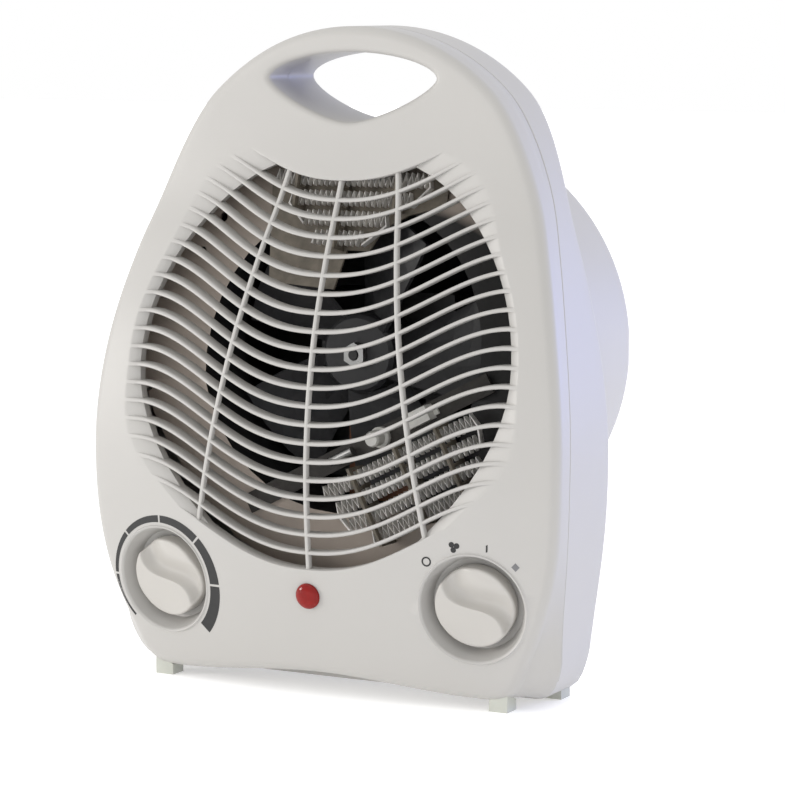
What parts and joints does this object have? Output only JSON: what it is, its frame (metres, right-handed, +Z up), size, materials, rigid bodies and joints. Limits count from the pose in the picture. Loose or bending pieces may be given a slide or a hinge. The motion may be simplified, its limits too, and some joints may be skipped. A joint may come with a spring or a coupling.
{
  "type": "fan convector heater",
  "caption": "Upright portable fan heater: egg-shaped case with carrying handle, wavy louvred grille, round fan drum behind, thermostat and heat selector knobs, and indicator lamp.",
  "frame": {"origin": "on the floor, under the middle of the heater's bounding box", "axes": "+Z up; the grille faces -Y; +X is to the right of a person looking at the front"},
  "size_m": [0.21, 0.1206, 0.2635],
  "materials": {
    "white_plastic": "moulded white plastic with a fine satin surface",
    "black_plastic": "black moulded plastic",
    "steel": "plated steel",
    "duct_steel": "taupe heat-resisting sheet steel",
    "mica": "pressed mica board",
    "heating_alloy": "oxidised heating alloy ribbon",
    "copper_winding": "enamelled copper winding under tape",
    "ceramic": "white glazed ceramic",
    "red_lens": "clear red plastic",
    "lamp_glow": "clear glass",
    "foot_rubber": "pale grey rubber",
    "fan_plastic": "dark grey moulded plastic",
    "brass": "turned brass"
  },
  "bodies": {
    "housing": {"front_cover": "white_plastic", "rear_cover": "white_plastic", "selector_body": "black_plastic", "cord_bushing": "black_plastic", "thermostat_screw_1": "steel", "thermostat_screw_2": "steel", "selector_screw_1": "steel", "selector_screw_2": "steel", "thermostat_body": "steel", "duct_screw_1": "steel", "duct_screw_2": "steel", "motor_stator": "steel", "motor_front_bracket": "steel", "motor_rear_bracket": "steel", "motor_screw_left": "steel", "motor_screw_right": "steel", "thermal_fuse": "steel", "cover_screw_1": "steel", "cover_screw_2": "steel", "cover_screw_3": "steel", "cover_screw_4": "steel", "cover_screw_5": "steel", "cover_screw_6": "steel", "air_duct": "duct_steel", "mica_board_upper": "mica", "mica_bridge": "mica", "mica_card_lower_1": "mica", "mica_card_lower_2": "mica", "mica_card_lower_3": "mica", "mica_card_upper_1": "mica", "mica_card_upper_2": "mica", "mica_card_upper_3": "mica", "heating_wire_lower": "heating_alloy", "heating_wire_upper": "heating_alloy", "motor_coil": "copper_winding", "ceramic_insulator": "ceramic", "thermal_cutout": "ceramic", "terminal_block": "ceramic", "indicator_lens": "red_lens", "indicator_bulb": "lamp_glow", "foot_front_left": "foot_rubber", "foot_front_right": "foot_rubber", "foot_rear_left": "foot_rubber", "foot_rear_right": "foot_rubber", "motor_front_bearing": "brass", "motor_rear_bearing": "brass"},
    "thermostat_dial": {"thermostat_knob": "white_plastic", "thermostat_shaft": "steel"},
    "selector_dial": {"selector_knob": "white_plastic", "selector_shaft": "steel"},
    "fan_rotor": {"fan_impeller": "fan_plastic", "fan_retainer": "steel", "motor_shaft": "steel", "motor_rotor": "steel"}
  },
  "joints": [
    {"name": "thermostat_turn", "type": "hinge", "parent": "housing", "child": "thermostat_dial", "pos_m": [-0.0697, -0.05328, 0.0415], "axis": [0.1233, 0.9829, 0.137], "range_deg": [-90, 180]},
    {"name": "selector_turn", "type": "hinge", "parent": "housing", "child": "selector_dial", "pos_m": [0.0697, -0.05328, 0.0415], "axis": [-0.1233, 0.9829, 0.137], "range_deg": [0, 90]},
    {"name": "fan_spin", "type": "hinge", "parent": "housing", "child": "fan_rotor", "pos_m": [0, -0.0095, 0.133], "axis": [0, 1, 0], "continuous": true}
  ]
}
